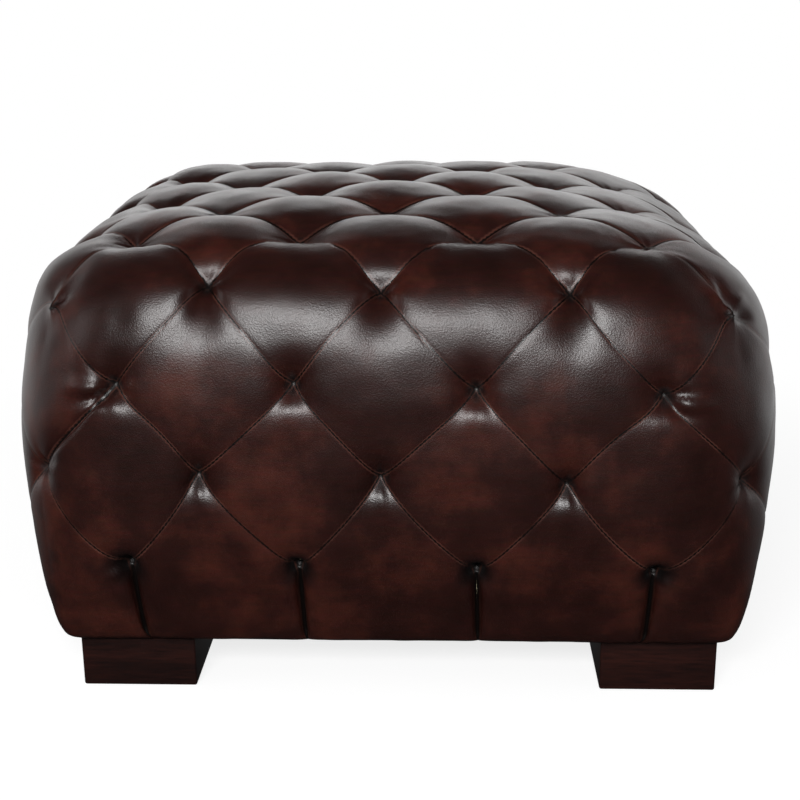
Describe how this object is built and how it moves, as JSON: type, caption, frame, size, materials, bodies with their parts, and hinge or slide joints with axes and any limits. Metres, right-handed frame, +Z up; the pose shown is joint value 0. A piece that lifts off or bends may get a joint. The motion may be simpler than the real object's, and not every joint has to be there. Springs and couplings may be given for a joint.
{
  "type": "tufted pouf",
  "caption": "Square footstool with a diamond-tufted brown leather cover over foam on a plywood box, standing on dark wooden block feet.",
  "frame": {"origin": "on the floor, under the middle of the pouf", "axes": "+Z up, +Y to the back, +X to the right as seen from the front"},
  "size_m": [0.715, 0.715, 0.442],
  "materials": {
    "leather": "soft sheen",
    "foam": "matte",
    "plywood": "raw",
    "pine": "raw",
    "foot_wood": "satin",
    "steel": "zinc plated",
    "twine": "waxed",
    "dust_cloth": "matte"
  },
  "bodies": {
    "root": {"tufted_cover": "leather", "top_foam": "foam", "front_foam": "foam", "right_foam": "foam", "back_foam": "foam", "left_foam": "foam", "deck": "plywood", "front_panel": "plywood", "right_panel": "plywood", "back_panel": "plywood", "left_panel": "plywood", "corner_block_front_left": "pine", "corner_block_front_right": "pine", "corner_block_back_left": "pine", "corner_block_back_right": "pine", "front_rail": "pine", "back_rail": "pine", "left_rail": "pine", "right_rail": "pine", "deck_bearer_left": "pine", "deck_bearer_right": "pine", "foot_plate_front_left": "plywood", "foot_plate_front_right": "plywood", "foot_plate_back_left": "plywood", "foot_plate_back_right": "plywood", "foot_front_left": "foot_wood", "foot_front_right": "foot_wood", "foot_back_left": "foot_wood", "foot_back_right": "foot_wood", "hanger_bolts": "steel", "tee_nuts": "steel", "deck_screws": "steel", "panel_screws": "steel", "top_tuft_twines": "twine", "edge_tuft_twines": "twine", "side_tuft_twines": "twine", "top_tuft_washers": "steel", "edge_tuft_washers": "steel", "side_tuft_washers": "steel", "dust_cover": "dust_cloth"}
  },
  "joints": []
}
